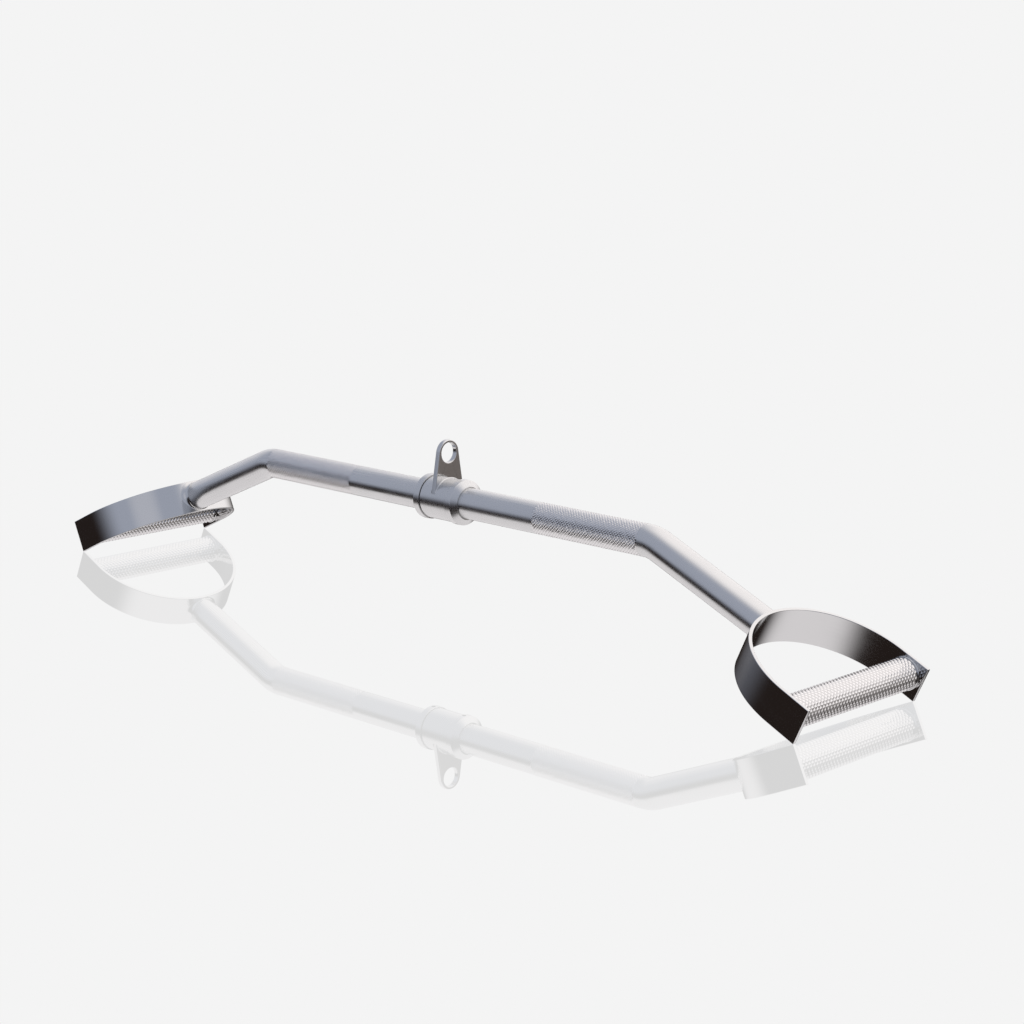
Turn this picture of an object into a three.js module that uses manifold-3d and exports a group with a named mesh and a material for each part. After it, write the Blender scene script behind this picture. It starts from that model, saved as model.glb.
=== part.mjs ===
// Pull-down bar with two D-shaped shovel handles and a swivelling hanger eye.
// Millimetres, +Z up. The bar runs along X, the handles lean down and outwards, and the part
// stands on the four lower corners of its two handle straps, so the floor is z = 0.
import * as THREE from "three";
import { mergeVertices } from "three/addons/utils/BufferGeometryUtils.js";
import Module from "manifold-3d";

const wasm = await Module();
wasm.setup();

// Clearances
const seatGap = 0.3;           // between pieces that are welded, pressed or screwed together
const runningGap = 0.3;        // between the bar and the bushes that turn on it
const endPlay = 0.4;           // between the sleeve and each collar
const cutOverrun = 3;          // how far a cutting solid reaches past what it cuts

// Facets
const roundSides = 40;         // round pieces on the bar
const smallSides = 16;         // screws and their holes
const strapSteps = 48;         // half circle of a handle strap
const bendSteps = 7;           // one bend of the bar
const eyeSteps = 32;           // round tip and hole of the eye plate
const filletSteps = 2;         // hollow of a weld bead

// Bent bar: steel tube, knurled on both sides of the hanger, then bent
const barRadius = 14;
const barWall = 3;
const cornerHalf = 246;        // from the middle to where the axes of centre and leg would cross
const legAngle = THREE.MathUtils.degToRad(23);
const legLength = 128;         // from that crossing to the outer face of the handle strap
const bendRadius = 36;         // centre line of the bend
const knurlInner = 116.7;      // from the middle to the inner end of a knurled zone
const knurlToBend = 0.5;       // plain tube between a knurled zone and the bend
const knurlRise = 0.15;        // how far the knurling stands proud of the plain tube
const knurlLead = 0.6;         // length of the slope at the ends of a knurled zone

// Handle strap: flat steel bent to a D
const strapRadius = 79;        // outer face of the half circle
const strapThickness = 3;
const strapWidth = 32;
const strapStraight = 28;      // straight arms past the half circle
const strapEdge = 0.4;         // rounding of the long edges
const handleTilt = THREE.MathUtils.degToRad(25);

// Hand grip: knurled tube across the ends of the strap
const gripRadius = 13.5;
const gripWall = 3;
const gripSetback = 17;        // grip axis behind the strap's ends
const gripPlain = 2;           // plain tube at each end of the grip

// Weld beads
const legBead = 5;
const gripBead = 1;
const eyeBead = 1.2;
const beadToe = 0.25;          // least thickness at a bead's edge
const beadEdgeMargin = 0.3;    // from a bead to the rounded edge of the strap

// Collars that hold the sleeve in place along the bar
const collarRadius = 20.5;
const collarWidth = 10.7;
const collarSlopeLength = 4;   // slope of the collar's outer end, along the bar
const collarSlopeDepth = 5.5;  // the same slope, towards the bar
const screwRadius = 2;
const screwInset = 0.6;        // screw head below the collar's surface
const socketAcross = 2;        // across the flats of the hexagon socket
const socketDepth = 2;

// Swivel sleeve and the bushes inside it
const sleeveRadius = 19.4;
const sleeveLength = 32.8;
const sleeveEdge = 0.5;        // chamfer of its ends
const bushWall = 1.7;
const bushLength = 12;
const bushInset = 0.5;         // bush end behind the sleeve end
const shoulderHeight = 1.2;    // step between the two bush seats

// Hanger eye: plate standing on the sleeve, square to the bar
const eyeThickness = 4.7;
const eyeTipRadius = 12;
const eyeTipHeight = 42.4;     // centre of the tip's arc above the bar's axis
const eyeLean = THREE.MathUtils.degToRad(9.5);
const eyeHoleRadius = 9;
const eyeHoleHeight = 42.8;    // centre of the hole above the bar's axis
const eyeEdge = 0.6;           // small bevel of its edges

// Finishes
const finishes = {
  bar: { color: 0xa9adb6, roughness: 0.28, metalness: 1 },
  strap: { color: 0x9a9ca3, roughness: 0.22, metalness: 1 },
  knurl: { color: 0xc4c4c8, roughness: 0.4, metalness: 1 },
  hanger: { color: 0xa4a6ad, roughness: 0.3, metalness: 1 },
  weld: { color: 0x9fa0a6, roughness: 0.35, metalness: 1 },
  bush: { color: 0xb08d57, roughness: 0.5, metalness: 1 },
  screw: { color: 0x2a2a2c, roughness: 0.45, metalness: 1 },
};

// Places that follow from the sizes above
const barLegTangent = bendRadius * Math.tan(legAngle / 2);
const bendStart = cornerHalf - barLegTangent;
const bendLength = bendRadius * legAngle;
const knurlOuter = bendStart - knurlToBend;
const collarStart = sleeveLength / 2 + endPlay;
const screwPlace = collarStart + (collarWidth - collarSlopeLength) / 2;
const bushOuterRadius = barRadius + runningGap + bushWall;
const bushSeatRadius = bushOuterRadius + seatGap;
const legDirection = new THREE.Vector3(Math.cos(legAngle), 0, -Math.sin(legAngle));
const apex = new THREE.Vector3(cornerHalf, 0, 0).addScaledVector(legDirection, legLength);
const handleOut = new THREE.Vector3(Math.cos(handleTilt), 0, -Math.sin(handleTilt));
const handleUp = new THREE.Vector3(Math.sin(handleTilt), 0, Math.cos(handleTilt));
const handleCentre = apex.clone().addScaledVector(handleOut, strapRadius);
const strapInnerRadius = strapRadius - strapThickness;
const gripHalfLength = strapInnerRadius - seatGap;
const gripPlace = strapStraight - gripSetback;

// Solids

// Turns a three.js geometry into a solid that can be cut and joined.
function solidOf(geometry) {
  const bare = geometry.clone();
  bare.deleteAttribute("normal");
  bare.deleteAttribute("uv");
  const merged = mergeVertices(bare);
  return new wasm.Manifold(new wasm.Mesh({
    numProp: 3,
    vertProperties: new Float32Array(merged.attributes.position.array),
    triVerts: new Uint32Array(merged.index.array),
  }));
}

// Turns a solid back into a three.js geometry.
function geometryOf(solid) {
  const mesh = solid.getMesh();
  const geometry = new THREE.BufferGeometry();
  geometry.setAttribute("position", new THREE.BufferAttribute(mesh.vertProperties, mesh.numProp));
  geometry.setIndex(new THREE.BufferAttribute(mesh.triVerts, 1));
  return geometry;
}

function cut(geometry, ...tools) {
  const body = tools.reduce((rest, tool) => rest.subtract(solidOf(tool)), solidOf(geometry));
  return geometryOf(body);
}

function common(geometry, tool) {
  return geometryOf(solidOf(geometry).intersect(solidOf(tool)));
}

// Revolves a closed profile of [distance along the axis, radius] points about the X axis.
function revolveAboutX(profile, sides = roundSides) {
  const points = [...profile, profile[0]].map(([along, radius]) => new THREE.Vector2(radius, along));
  return new THREE.LatheGeometry(points, sides).rotateZ(-Math.PI / 2);
}

// Quarter hollow of a weld bead, as shares of the bead's size: [away from the wall, up the wall].
function beadHollowShares() {
  const shares = [];
  for (let i = 0; i <= filletSteps; i += 1) {
    const angle = (i / filletSteps) * (Math.PI / 2);
    shares.push([1 - Math.sin(angle), 1 - Math.cos(angle)]);
  }
  return shares;
}

// Bent bar

// Moves a point of the straight tube to its place on the bent bar.
function bendPoint(point) {
  const side = Math.sign(point.x) || 1;
  const along = Math.abs(point.x) - bendStart;
  if (along <= 0) return point;
  const turned = Math.min(along / bendRadius, legAngle);
  const past = Math.max(along - bendLength, 0);
  const reach = bendRadius + point.z;
  const x = bendStart + reach * Math.sin(turned) + past * Math.cos(turned);
  const z = reach * Math.cos(turned) - bendRadius - past * Math.sin(turned);
  return point.set(side * x, point.y, z);
}

// Outer and inner stations along one half of the tube, from the middle to past the strap's face.
function barStations() {
  const end = bendStart + bendLength + (legLength - barLegTangent) + strapThickness;
  const bends = [];
  for (let i = 0; i <= bendSteps; i += 1) bends.push(bendStart + (bendLength * i) / bendSteps);
  const proud = barRadius + knurlRise;
  const outer = [
    [knurlInner, barRadius],
    [knurlInner + knurlLead, proud],
    [knurlOuter - knurlLead, proud],
    [knurlOuter, barRadius],
    ...bends.map((along) => [along, barRadius]),
    [end, barRadius],
  ];
  const bore = barRadius - barWall;
  const inner = [...bends.map((along) => [along, bore]), [end, bore]];
  return { outer, inner };
}

// Solid that fills the strap's outer cylinder with the seat gap, placed like the handle.
function strapEnvelope(turn) {
  const sides = 2 * strapSteps;
  const height = strapWidth + 2 * (legBead + cutOverrun);
  return new THREE.CylinderGeometry(strapRadius + seatGap, strapRadius + seatGap, height, sides)
    .rotateX(Math.PI / 2)
    .rotateY(handleTilt)
    .translate(handleCentre.x, handleCentre.y, handleCentre.z)
    .rotateZ(turn);
}

function bentBar() {
  const { outer, inner } = barStations();
  const mirror = (stations) => stations.map(([along, radius]) => [-along, radius]).reverse();
  const profile = [...mirror(outer), ...outer, ...[...inner].reverse(), ...mirror(inner).reverse()];
  const straight = revolveAboutX(profile);
  const positions = straight.attributes.position;
  const point = new THREE.Vector3();
  for (let i = 0; i < positions.count; i += 1) {
    bendPoint(point.fromBufferAttribute(positions, i));
    positions.setXYZ(i, point.x, point.y, point.z);
  }
  return cut(straight, strapEnvelope(0), strapEnvelope(Math.PI));
}

// Handle: strap, grip and their welds, in the handle's own axes. X points outwards along the
// strap's arms, Z across the strap's width, and the origin is the centre of the half circle.

function handleStrap() {
  const outline = new THREE.Shape();
  const quarter = Math.PI / 2;
  outline.moveTo(strapStraight, -strapRadius);
  outline.lineTo(strapStraight, -strapInnerRadius);
  outline.absarc(0, 0, strapInnerRadius, -quarter, quarter, true);
  outline.lineTo(strapStraight, strapInnerRadius);
  outline.lineTo(strapStraight, strapRadius);
  outline.absarc(0, 0, strapRadius, quarter, -quarter, false);
  return new THREE.ExtrudeGeometry(outline, {
    depth: strapWidth - 2 * strapEdge,
    bevelThickness: strapEdge,
    bevelSize: strapEdge,
    bevelOffset: -strapEdge,
    bevelSegments: 2,
    curveSegments: strapSteps / 2,
  }).translate(0, 0, strapEdge - strapWidth / 2);
}

function gripTube() {
  const proud = gripRadius + knurlRise;
  const bore = gripRadius - gripWall;
  const half = gripHalfLength;
  const profile = [
    [-half, gripRadius],
    [gripPlain - half, gripRadius],
    [gripPlain + knurlLead - half, proud],
    [half - gripPlain - knurlLead, proud],
    [half - gripPlain, gripRadius],
    [half, gripRadius],
    [half, bore],
    [-half, bore],
  ];
  return revolveAboutX(profile).rotateZ(Math.PI / 2).translate(gripPlace, 0, 0);
}

// Fillet weld round the grip where it meets the inner face of one arm; side is 1 or -1.
function gripWeld(side) {
  const root = gripRadius + seatGap;
  const hollow = beadHollowShares().map(([away, up]) => [
    gripHalfLength - up * (gripBead - beadToe) - beadToe,
    root + away * (gripBead - beadToe) + beadToe,
  ]);
  const toe = root + gripBead;
  const top = gripHalfLength - gripBead;
  const profile = [[top, root], ...hollow.reverse(), [gripHalfLength, toe], [gripHalfLength, root]];
  return revolveAboutX(profile).rotateZ((side * Math.PI) / 2).translate(gripPlace, 0, 0);
}

// Where a line along the leg meets the strap: its distance past the apex, for a point that lies
// `across` to the side of the leg's axis and `above` it.
function strapFace(across, above) {
  const legUp = new THREE.Vector3(Math.sin(legAngle), 0, Math.cos(legAngle));
  const start = apex.clone().addScaledVector(legUp, above);
  start.y += across;
  const offset = start.sub(handleCentre);
  const flat = (vector) => vector.clone().addScaledVector(handleUp, -vector.dot(handleUp));
  const place = flat(offset);
  const course = flat(legDirection);
  const a = course.dot(course);
  const b = place.dot(course);
  const c = place.dot(place) - (strapRadius + seatGap) ** 2;
  return (-b - Math.sqrt(b * b - a * c)) / a;
}

// Fillet weld round the leg of the bar, following the curve of the strap. It is narrower above
// and below, where the tube nearly fills the strap's width.
function legWeld() {
  const root = barRadius + seatGap;
  const widest = strapWidth / 2 - strapEdge - beadEdgeMargin;
  const section = [[0, 0], [1, 0], ...beadHollowShares(), [0, 1]];
  const ring = [];
  const step = (2 * Math.PI) / roundSides;
  for (let i = 0; i < roundSides; i += 1) {
    const across = Math.cos(i * step);
    const above = Math.sin(i * step);
    const room = widest / Math.max(Math.abs(above), Number.EPSILON) - root;
    const size = Math.min(legBead, room);
    section.forEach(([away, up], k) => {
      const onToe = k > 1 && k < section.length - 1;
      const radius = root + (onToe ? beadToe + away * (size - beadToe) : away * size);
      const lift = onToe ? beadToe + up * (size - beadToe) : up * size;
      const along = strapFace(radius * across, radius * above) - lift;
      const place = apex.clone().addScaledVector(legDirection, along);
      ring.push(
        place.x + radius * above * Math.sin(legAngle),
        radius * across,
        place.z + radius * above * Math.cos(legAngle),
      );
    });
  }
  const index = [];
  const count = section.length;
  for (let i = 0; i < roundSides; i += 1) {
    const here = i * count;
    const next = ((i + 1) % roundSides) * count;
    for (let k = 0; k < count; k += 1) {
      const after = (k + 1) % count;
      index.push(here + k, next + after, next + k, here + k, here + after, next + after);
    }
  }
  const geometry = new THREE.BufferGeometry();
  geometry.setAttribute("position", new THREE.Float32BufferAttribute(ring, 3));
  geometry.setIndex(index);
  return geometry;
}

// Hanger

function collarScrewHole() {
  const length = collarRadius - barRadius + 2 * cutOverrun;
  return new THREE.CylinderGeometry(screwRadius + seatGap, screwRadius + seatGap, length, smallSides)
    .rotateX(Math.PI / 2)
    .translate(screwPlace, 0, -(collarRadius + barRadius) / 2);
}

function collar() {
  const bore = barRadius + seatGap;
  const end = collarStart + collarWidth;
  const profile = [
    [collarStart, bore],
    [collarStart, collarRadius - sleeveEdge],
    [collarStart + sleeveEdge, collarRadius],
    [end - collarSlopeLength, collarRadius],
    [end, collarRadius - collarSlopeDepth],
    [end, bore],
  ];
  return cut(revolveAboutX(profile), collarScrewHole());
}

// Grub screw under the collar, its hexagon socket facing down.
function collarScrew() {
  const head = collarRadius - screwInset;
  const tip = barRadius + seatGap;
  const body = new THREE.CylinderGeometry(screwRadius, screwRadius, head - tip, smallSides)
    .rotateX(Math.PI / 2)
    .translate(screwPlace, 0, -(head + tip) / 2);
  const socketRadius = socketAcross / Math.sqrt(3);
  const socketLength = socketDepth + cutOverrun;
  const socket = new THREE.CylinderGeometry(socketRadius, socketRadius, socketLength, 6)
    .rotateX(Math.PI / 2)
    .translate(screwPlace, 0, -(head - socketDepth + socketLength / 2));
  return cut(body, socket);
}

function sleeve() {
  const half = sleeveLength / 2;
  const seatEnd = half - bushInset - bushLength - seatGap;
  const shoulder = bushSeatRadius - shoulderHeight;
  const profile = [
    [-half, bushSeatRadius],
    [-half, sleeveRadius - sleeveEdge],
    [sleeveEdge - half, sleeveRadius],
    [half - sleeveEdge, sleeveRadius],
    [half, sleeveRadius - sleeveEdge],
    [half, bushSeatRadius],
    [seatEnd, bushSeatRadius],
    [seatEnd, shoulder],
    [-seatEnd, shoulder],
    [-seatEnd, bushSeatRadius],
  ];
  return revolveAboutX(profile);
}

function bush() {
  const outer = sleeveLength / 2 - bushInset;
  const inner = outer - bushLength;
  const bore = barRadius + runningGap;
  return revolveAboutX([[inner, bore], [inner, bushOuterRadius], [outer, bushOuterRadius], [outer, bore]]);
}

// Outline of the eye plate seen along the bar: the sides run straight down from the round tip
// and end inside the sleeve, where the saddle cut trims them.
function eyeOutline(withHole) {
  const outline = new THREE.Shape();
  const tangentY = eyeTipRadius * Math.cos(eyeLean);
  const tangentZ = eyeTipHeight + eyeTipRadius * Math.sin(eyeLean);
  const footHalf = tangentY + tangentZ * Math.tan(eyeLean);
  outline.moveTo(-footHalf, 0);
  outline.lineTo(footHalf, 0);
  outline.lineTo(tangentY, tangentZ);
  outline.absarc(0, eyeTipHeight, eyeTipRadius, eyeLean, Math.PI - eyeLean, false);
  if (withHole) {
    const hole = new THREE.Path();
    hole.absarc(0, eyeHoleHeight, eyeHoleRadius, 0, 2 * Math.PI, true);
    outline.holes.push(hole);
  }
  return outline;
}

// Stands an outline drawn in Y and Z square to the bar.
function standAcrossBar(geometry) {
  return geometry.rotateX(Math.PI / 2).rotateZ(Math.PI / 2);
}

function eyePlate() {
  const plate = standAcrossBar(new THREE.ExtrudeGeometry(eyeOutline(true), {
    depth: eyeThickness - 2 * eyeEdge,
    bevelThickness: eyeEdge,
    bevelSize: eyeEdge,
    bevelOffset: -eyeEdge,
    bevelSegments: 1,
    curveSegments: eyeSteps / 2,
  }).translate(0, 0, eyeEdge - eyeThickness / 2));
  const saddleRadius = sleeveRadius + seatGap;
  const saddle = new THREE.CylinderGeometry(saddleRadius, saddleRadius, sleeveLength, roundSides)
    .rotateZ(Math.PI / 2);
  return cut(plate, saddle);
}

// Fillet weld along the foot of the eye plate on its +X face, as wide as the foot.
function eyeWeld() {
  const root = sleeveRadius + seatGap;
  const face = eyeThickness / 2 + seatGap;
  const hollow = beadHollowShares().map(([away, up]) => [
    face + beadToe + up * (eyeBead - beadToe),
    root + beadToe + away * (eyeBead - beadToe),
  ]);
  const profile = [[face, root], [face, root + eyeBead], ...hollow, [face + eyeBead, root]];
  const ring = revolveAboutX(profile);
  const depth = 2 * (face + eyeBead + cutOverrun);
  const foot = standAcrossBar(new THREE.ExtrudeGeometry(eyeOutline(false), {
    depth,
    bevelEnabled: false,
    curveSegments: eyeSteps / 2,
  }).translate(0, 0, -depth / 2));
  return common(ring, foot);
}

// Assembly

function piece(name, geometry, finish) {
  const mesh = new THREE.Mesh(geometry, new THREE.MeshStandardMaterial(finishes[finish]));
  mesh.name = name;
  return mesh;
}

// Everything that belongs to one end of the bar, facing +X (1) or turned half round (-1).
function barEnd(side, facing) {
  const handle = new THREE.Group();
  handle.position.copy(handleCentre);
  handle.rotation.y = handleTilt;
  handle.add(
    piece(`${side}_handle_strap`, handleStrap(), "strap"),
    piece(`${side}_grip`, gripTube(), "knurl"),
    piece(`${side}_grip_weld_front`, gripWeld(-facing), "weld"),
    piece(`${side}_grip_weld_back`, gripWeld(facing), "weld"),
  );
  const end = new THREE.Group();
  end.rotation.z = facing > 0 ? 0 : Math.PI;
  end.add(
    handle,
    piece(`${side}_leg_weld`, legWeld(), "weld"),
    piece(`${side}_collar`, collar(), "hanger"),
    piece(`${side}_collar_screw`, collarScrew(), "screw"),
  );
  return end;
}

// The sleeve with what turns with it.
function swivel() {
  const group = new THREE.Group();
  group.add(
    piece("swivel_sleeve", sleeve(), "hanger"),
    piece("eye_plate", eyePlate(), "hanger"),
    piece("right_bush", bush(), "bush"),
    piece("left_bush", bush().rotateZ(Math.PI), "bush"),
    piece("right_eye_weld", eyeWeld(), "weld"),
    piece("left_eye_weld", eyeWeld().rotateZ(Math.PI), "weld"),
  );
  return group;
}

const assembly = new THREE.Group();
assembly.add(
  piece("bar", bentBar(), "bar"),
  barEnd("right", 1),
  barEnd("left", -1),
  swivel(),
);

// Lifts the part until the lowest corners of the straps stand on the floor.
assembly.updateMatrixWorld(true);
assembly.position.z = -new THREE.Box3().setFromObject(assembly, true).min.z;

export default assembly;
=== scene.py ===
from math import asin, atan2, cos, hypot, pi, radians, sin, sqrt, tan

import bmesh
import bpy
from bpy.props import FloatProperty, FloatVectorProperty, IntProperty, PointerProperty
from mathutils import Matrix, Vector


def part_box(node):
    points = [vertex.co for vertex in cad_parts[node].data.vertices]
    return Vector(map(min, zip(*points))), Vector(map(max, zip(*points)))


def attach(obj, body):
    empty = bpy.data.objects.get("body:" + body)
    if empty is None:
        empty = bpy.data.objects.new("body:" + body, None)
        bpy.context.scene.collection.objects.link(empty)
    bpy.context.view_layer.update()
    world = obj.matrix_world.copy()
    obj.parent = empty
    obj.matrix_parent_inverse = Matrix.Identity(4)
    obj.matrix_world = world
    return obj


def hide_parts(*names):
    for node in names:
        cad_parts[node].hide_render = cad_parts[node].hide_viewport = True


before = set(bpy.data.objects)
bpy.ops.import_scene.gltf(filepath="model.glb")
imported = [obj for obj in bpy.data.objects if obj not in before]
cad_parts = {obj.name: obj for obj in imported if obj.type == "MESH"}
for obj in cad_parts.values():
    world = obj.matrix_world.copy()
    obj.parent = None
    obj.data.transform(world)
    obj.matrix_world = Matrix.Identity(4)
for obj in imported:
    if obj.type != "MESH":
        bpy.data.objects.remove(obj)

bl_info = {
    "name": "Shovel Cable Handle",
    "version": (1, 0, 0),
    "blender": (4, 5, 0),
    "location": "View3D > Sidebar > Shovel Handle",
    "description": "Draws the finished pieces of a shovel cable handle and the studio round it",
    "category": "Add Mesh",
}

MM = 0.001

# Faces that meet at more than this angle have a sharp edge between them.
SHARP = radians(38)

# Pressed and clamped pieces are drawn this far apart, so that no two faces share a place.
FIT = 0.02 * MM

# Welds run this far into the pieces they join, so that no gap shows.
SUNK = 0.1 * MM

# The axis of the bar lies at the middle of the sleeve that turns on it.
SLEEVE_LOW, SLEEVE_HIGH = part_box("swivel_sleeve")
AXIS_HEIGHT = (SLEEVE_LOW[2] + SLEEVE_HIGH[2]) / 2


def linear(hex_colour):
    """sRGB hex to a linear colour with full alpha."""
    parts = [int(hex_colour[k:k + 2], 16) / 255 for k in (1, 3, 5)]
    return (*[p / 12.92 if p <= 0.04045 else ((p + 0.055) / 1.055) ** 2.4 for p in parts], 1.0)


def length(name, description, millimetres):
    return FloatProperty(name=name, description=description, default=millimetres * MM, min=0.0,
                         unit="LENGTH", precision=5)


def angle(name, description, degrees):
    return FloatProperty(name=name, description=description, default=radians(degrees),
                         unit="ROTATION")


def count(name, description, default):
    return IntProperty(name=name, description=description, default=default, min=3)


def colour(name, description, hex_colour):
    return FloatVectorProperty(name=name, description=description, default=linear(hex_colour),
                               size=4, min=0.0, subtype="COLOR")


def factor(name, description, default):
    return FloatProperty(name=name, description=description, default=default, min=0.0, max=1.0,
                         subtype="FACTOR")


# Sizes

class BarSizes(bpy.types.PropertyGroup):
    """The tube bent down at both ends"""
    radius: length("Tube radius", "Outside radius of the tube", 14)
    wall: length("Wall", "Thickness of the tube's wall", 3)
    corner_half: length("Half to corner", "From the middle to where the two axes cross", 246)
    leg_angle: angle("Leg angle", "How far each leg is bent down", 23)
    leg_length: length("Leg length", "From the corner to the handle strap", 128)
    bend_radius: length("Bend radius", "Radius of the bend's centre line", 36)
    knurl_inner: length("Knurl start", "From the middle to the knurled zone", 116.7)
    knurl_gap: length("Knurl gap", "Plain tube between knurled zone and bend", 0.5)
    knurl_pitch: length("Knurl pitch", "Length of one diamond along the tube", 3.0)
    knurl_around: count("Diamonds around", "Diamonds side by side round the tube", 28)
    knurl_rise: length("Knurl rise", "How far the diamonds stand proud", 0.15)
    knurl_depth: length("Knurl depth", "How far the grooves lie below the tube", 0.26)

    @property
    def bend_reach(self):
        """From the corner to each end of the bend."""
        return self.bend_radius * tan(self.leg_angle / 2)

    @property
    def bend_start(self):
        return self.corner_half - self.bend_reach

    @property
    def bend_length(self):
        return self.bend_radius * self.leg_angle

    @property
    def end(self):
        """Length along the bent axis from the middle to the strap's face."""
        return self.bend_start + self.bend_length + (self.leg_length - self.bend_reach)

    def place(self, along, radius, turn):
        """Point on the bent bar from its length along the tube, radius and angle round it."""
        side = -1 if along < 0 else 1
        across, above = radius * cos(turn), radius * sin(turn)
        run = abs(along) - self.bend_start
        if run <= 0:
            return Vector((along, across, above + AXIS_HEIGHT))
        turned = min(run / self.bend_radius, self.leg_angle)
        past = max(run - self.bend_length, 0)
        reach = self.bend_radius + above
        x = self.bend_start + reach * sin(turned) + past * cos(turned)
        z = reach * cos(turned) - self.bend_radius - past * sin(turned)
        return Vector((side * x, across, z + AXIS_HEIGHT))


class HandleSizes(bpy.types.PropertyGroup):
    """The bent strap and the grip tube of one handle"""
    strap_radius: length("Strap radius", "Outer face of the strap's half circle", 79)
    strap_thickness: length("Strap thickness", "Thickness of the flat bar", 3)
    strap_width: length("Strap width", "Width of the flat bar", 32)
    strap_straight: length("Straight arms", "Straight arms past the half circle", 28)
    strap_edge: length("Strap edge", "Rounding of the flat bar's edges", 0.45)
    tilt: angle("Handle tilt", "How far the handle leans down", 25)
    grip_radius: length("Grip radius", "Outside radius of the grip tube", 13.5)
    grip_wall: length("Grip wall", "Thickness of the grip tube", 3)
    grip_setback: length("Grip setback", "Grip axis behind the strap's ends", 17)
    grip_plain: length("Plain end", "Plain tube at each end of the grip", 1)
    knurl_pitch: length("Knurl pitch", "Length of one diamond along the grip", 4.0)
    knurl_around: count("Diamonds around", "Diamonds side by side round the grip", 17)
    knurl_rise: length("Knurl rise", "How far the diamonds stand proud", 0.15)
    knurl_depth: length("Knurl depth", "How far the grooves lie below the tube", 0.23)
    leg_bead: length("Leg weld", "Leg length of the weld round the bar's end", 5)
    grip_bead: length("Grip weld", "Leg length of the weld round the grip's ends", 0.8)

    @property
    def out(self):
        return Vector((cos(self.tilt), 0, -sin(self.tilt)))

    @property
    def up(self):
        return Vector((sin(self.tilt), 0, cos(self.tilt)))

    @property
    def grip_half(self):
        """From the middle of the grip to the inner face of the strap."""
        return self.strap_radius - self.strap_thickness


class HangerSizes(bpy.types.PropertyGroup):
    """The sleeve with its eye plate, the bushes and the collars"""
    sleeve_radius: length("Sleeve radius", "Outside radius of the sleeve", 19.4)
    sleeve_length: length("Sleeve length", "Length of the sleeve", 32.8)
    sleeve_edge: length("Sleeve edge", "Rounding of the turned edges", 0.5)
    running_gap: length("Running gap", "Between the bar and the bushes", 0.3)
    bush_wall: length("Bush wall", "Thickness of a bush", 1.7)
    bush_length: length("Bush length", "Length of a bush", 12)
    bush_inset: length("Bush inset", "Bush end behind the sleeve's end", 0.5)
    end_play: length("End play", "Between the sleeve and each collar", 0.4)
    collar_radius: length("Collar radius", "Outside radius of a collar", 20.5)
    collar_width: length("Collar width", "Length of a collar", 10.7)
    slope_length: length("Slope length", "Slope of a collar's outer end, along the bar", 4)
    slope_depth: length("Slope depth", "The same slope, towards the bar", 5.5)
    screw_radius: length("Screw radius", "Radius of the grub screw", 2)
    screw_inset: length("Screw inset", "Screw head below the collar's surface", 0.6)
    socket_across: length("Socket", "Across the flats of the hexagon socket", 2)
    socket_depth: length("Socket depth", "Depth of the hexagon socket", 2)
    eye_thickness: length("Eye thickness", "Thickness of the eye plate", 4.7)
    eye_tip_radius: length("Eye tip radius", "Radius of the eye's round tip", 12)
    eye_tip_height: length("Eye tip height", "Centre of the tip above the bar's axis", 42.4)
    eye_lean: angle("Eye lean", "How far the eye's sides lean in", 9.5)
    eye_hole_radius: length("Eye hole radius", "Radius of the hole in the eye", 9)
    eye_hole_height: length("Eye hole height", "Centre of the hole above the bar's axis", 42.8)
    eye_edge: length("Eye edge", "Rounding of the eye's edges", 0.8)
    eye_bead: length("Eye weld", "Leg length of the welds at the eye's foot", 0.8)

    @property
    def collar_start(self):
        return self.sleeve_length / 2 + self.end_play

    @property
    def screw_place(self):
        return self.collar_start + (self.collar_width - self.slope_length) / 2

    def eye_foot(self, radius):
        """Point, across and above the bar's axis, where the eye's side meets a circle round it."""
        slope = tan(self.eye_lean)
        tangent = Vector((cos(self.eye_lean), sin(self.eye_lean))) * self.eye_tip_radius
        reach = tangent[0] + (self.eye_tip_height + tangent[1]) * slope
        a, b, c = 1 + slope ** 2, -reach * slope, reach ** 2 - radius ** 2
        above = (-b + sqrt(b * b - a * c)) / a
        return Vector((reach - above * slope, above))


class Finishes(bpy.types.PropertyGroup):
    """Colours and gloss of the metals and the studio"""
    chrome: colour("Chrome", "Chrome plate seen straight on", "#d4d4d4")
    # the same chrome plate as the tube, painted lighter on the knurls' facets: a painted highlight
    bright: colour("Bright chrome", "Chrome plate on the knurls' facets", "#eae9e9")
    # painted shade in the knurls' grooves
    painted_groove_shade: colour("Grime", "Grime in the knurls' grooves", "#3a3433")
    bronze: colour("Bronze", "Sintered bronze of the bushes", "#b08a52")
    oxide: colour("Black oxide", "Blackened steel of the grub screws", "#2a2829")
    gloss: factor("Roughness", "Roughness of the polished chrome", 0.13)
    backdrop: colour("Backdrop", "Floor and backdrop as the camera sees them", "#f4f4f4")
    floor_mirror: factor("Floor mirror", "How much the floor mirrors the object", 0.265)
    sky: colour("Studio wall", "Cool wall above the horizon", "#9398a5")
    ceiling: colour("Ceiling", "Pale ceiling above the wall", "#c4c2c4")
    lamp: colour("Soft lamp", "Large warm white lamp", "#eeeae9")
    dusk: colour("Dark band", "Dark band at the horizon", "#201a18")
    lit_dusk: colour("Lit dark band", "The dark band where light falls on it", "#66605d")
    ground: colour("Ground", "Light ground as the metal mirrors it", "#cfcccd")


# Mesh building

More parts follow.
